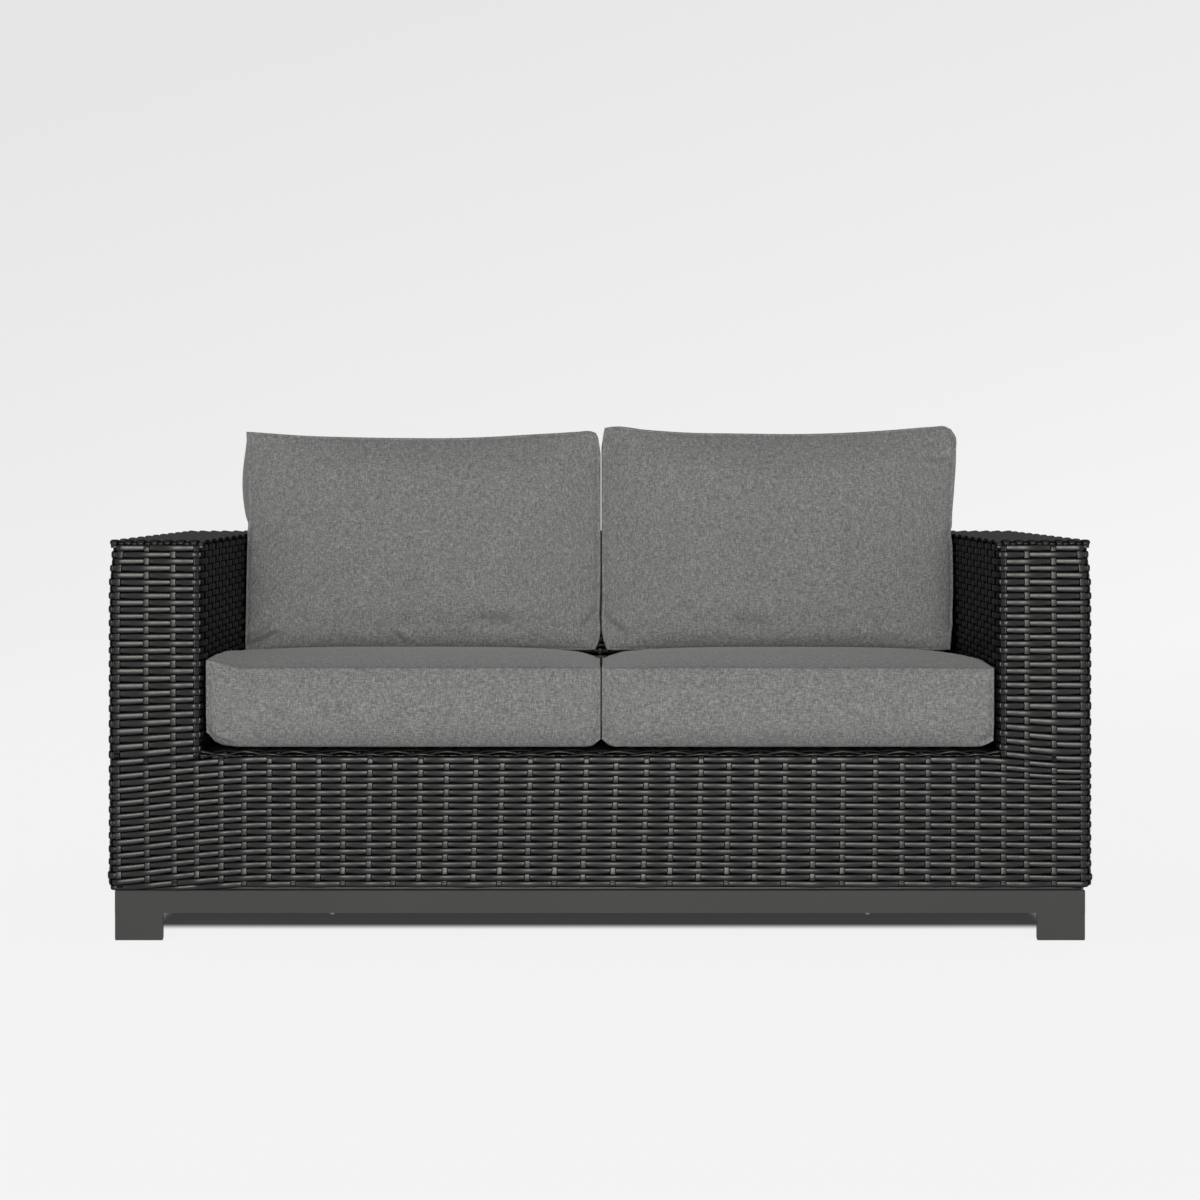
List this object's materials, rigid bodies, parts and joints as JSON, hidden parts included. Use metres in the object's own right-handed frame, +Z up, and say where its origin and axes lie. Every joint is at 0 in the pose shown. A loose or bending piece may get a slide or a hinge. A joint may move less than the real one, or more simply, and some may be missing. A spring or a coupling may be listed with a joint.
{
  "type": "patio loveseat",
  "caption": "Box-shaped outdoor loveseat woven in resin strand on a powder-coated plinth, with loose boxed seat and back cushions.",
  "frame": {"origin": "on the floor, under the middle of the body", "axes": "+X along the seat to the sitter's left, +Y towards the back, +Z up"},
  "size_m": [1.64, 0.88, 0.8659],
  "materials": {
    "resin_strand": "charcoal, semi-gloss, streaked",
    "powder_coat": "warm grey powder coat, matt",
    "glide_plastic": "black moulded polyethylene",
    "zinc_steel": "zinc plated",
    "frame_aluminium": "mill finish tube",
    "cushion_fabric": "heathered grey woven fabric, matt",
    "seat_foam": "open-cell foam",
    "fibre_fill": "white polyester fibre"
  },
  "bodies": {
    "frame": {"apron_weave": "resin_strand", "arm_cross_tubes_left": "frame_aluminium", "arm_cross_tubes_right": "frame_aluminium", "arm_front_weave_left": "resin_strand", "arm_front_weave_right": "resin_strand", "arm_inner_weave_left": "resin_strand", "arm_inner_weave_right": "resin_strand", "arm_outer_weave_left": "resin_strand", "arm_outer_weave_right": "resin_strand", "arm_posts_left": "frame_aluminium", "arm_posts_right": "frame_aluminium", "arm_top_tubes_left": "frame_aluminium", "arm_top_tubes_right": "frame_aluminium", "arm_top_weave_left": "resin_strand", "arm_top_weave_right": "resin_strand", "back_inner_weave": "resin_strand", "back_outer_weave": "resin_strand", "back_posts": "frame_aluminium", "back_top_tubes": "frame_aluminium", "back_top_weave": "resin_strand", "deck_bearers": "frame_aluminium", "foot_front_left": "powder_coat", "foot_front_right": "powder_coat", "foot_rear_left": "powder_coat", "foot_rear_right": "powder_coat", "frame_bolts": "zinc_steel", "frame_bottom_front_tube": "frame_aluminium", "frame_bottom_inner_tube": "frame_aluminium", "frame_bottom_left_tubes": "frame_aluminium", "frame_bottom_rear_tube": "frame_aluminium", "frame_bottom_right_tubes": "frame_aluminium", "glide_front_left": "glide_plastic", "glide_front_right": "glide_plastic", "glide_rear_left": "glide_plastic", "glide_rear_right": "glide_plastic", "plinth_centre_rail": "powder_coat", "plinth_front_rail": "powder_coat", "plinth_left_rail": "powder_coat", "plinth_rear_rail": "powder_coat", "plinth_right_rail": "powder_coat", "seat_deck_weave": "resin_strand", "seat_front_tube": "frame_aluminium", "seat_rear_tube": "frame_aluminium", "seat_side_tubes": "frame_aluminium", "weld_nuts": "zinc_steel"},
    "seat_cushion_left": {"seat_cover_left": "cushion_fabric", "seat_foam_left": "seat_foam"},
    "seat_cushion_right": {"seat_cover_right": "cushion_fabric", "seat_foam_right": "seat_foam"},
    "back_cushion_left": {"back_cover_left": "cushion_fabric", "back_fill_left": "fibre_fill"},
    "back_cushion_right": {"back_cover_right": "cushion_fabric", "back_fill_right": "fibre_fill"}
  },
  "joints": [
    {"name": "seat_cushion_left_slide", "type": "slide", "parent": "frame", "child": "seat_cushion_left", "axis": [0, -1, 0], "range_m": [0, 0.75]},
    {"name": "seat_cushion_right_slide", "type": "slide", "parent": "frame", "child": "seat_cushion_right", "axis": [0, -1, 0], "range_m": [0, 0.75]},
    {"name": "back_cushion_left_lift", "type": "slide", "parent": "frame", "child": "back_cushion_left", "axis": [0, 0, 1], "range_m": [0, 0.35]},
    {"name": "back_cushion_right_lift", "type": "slide", "parent": "frame", "child": "back_cushion_right", "axis": [0, 0, 1], "range_m": [0, 0.35]}
  ]
}
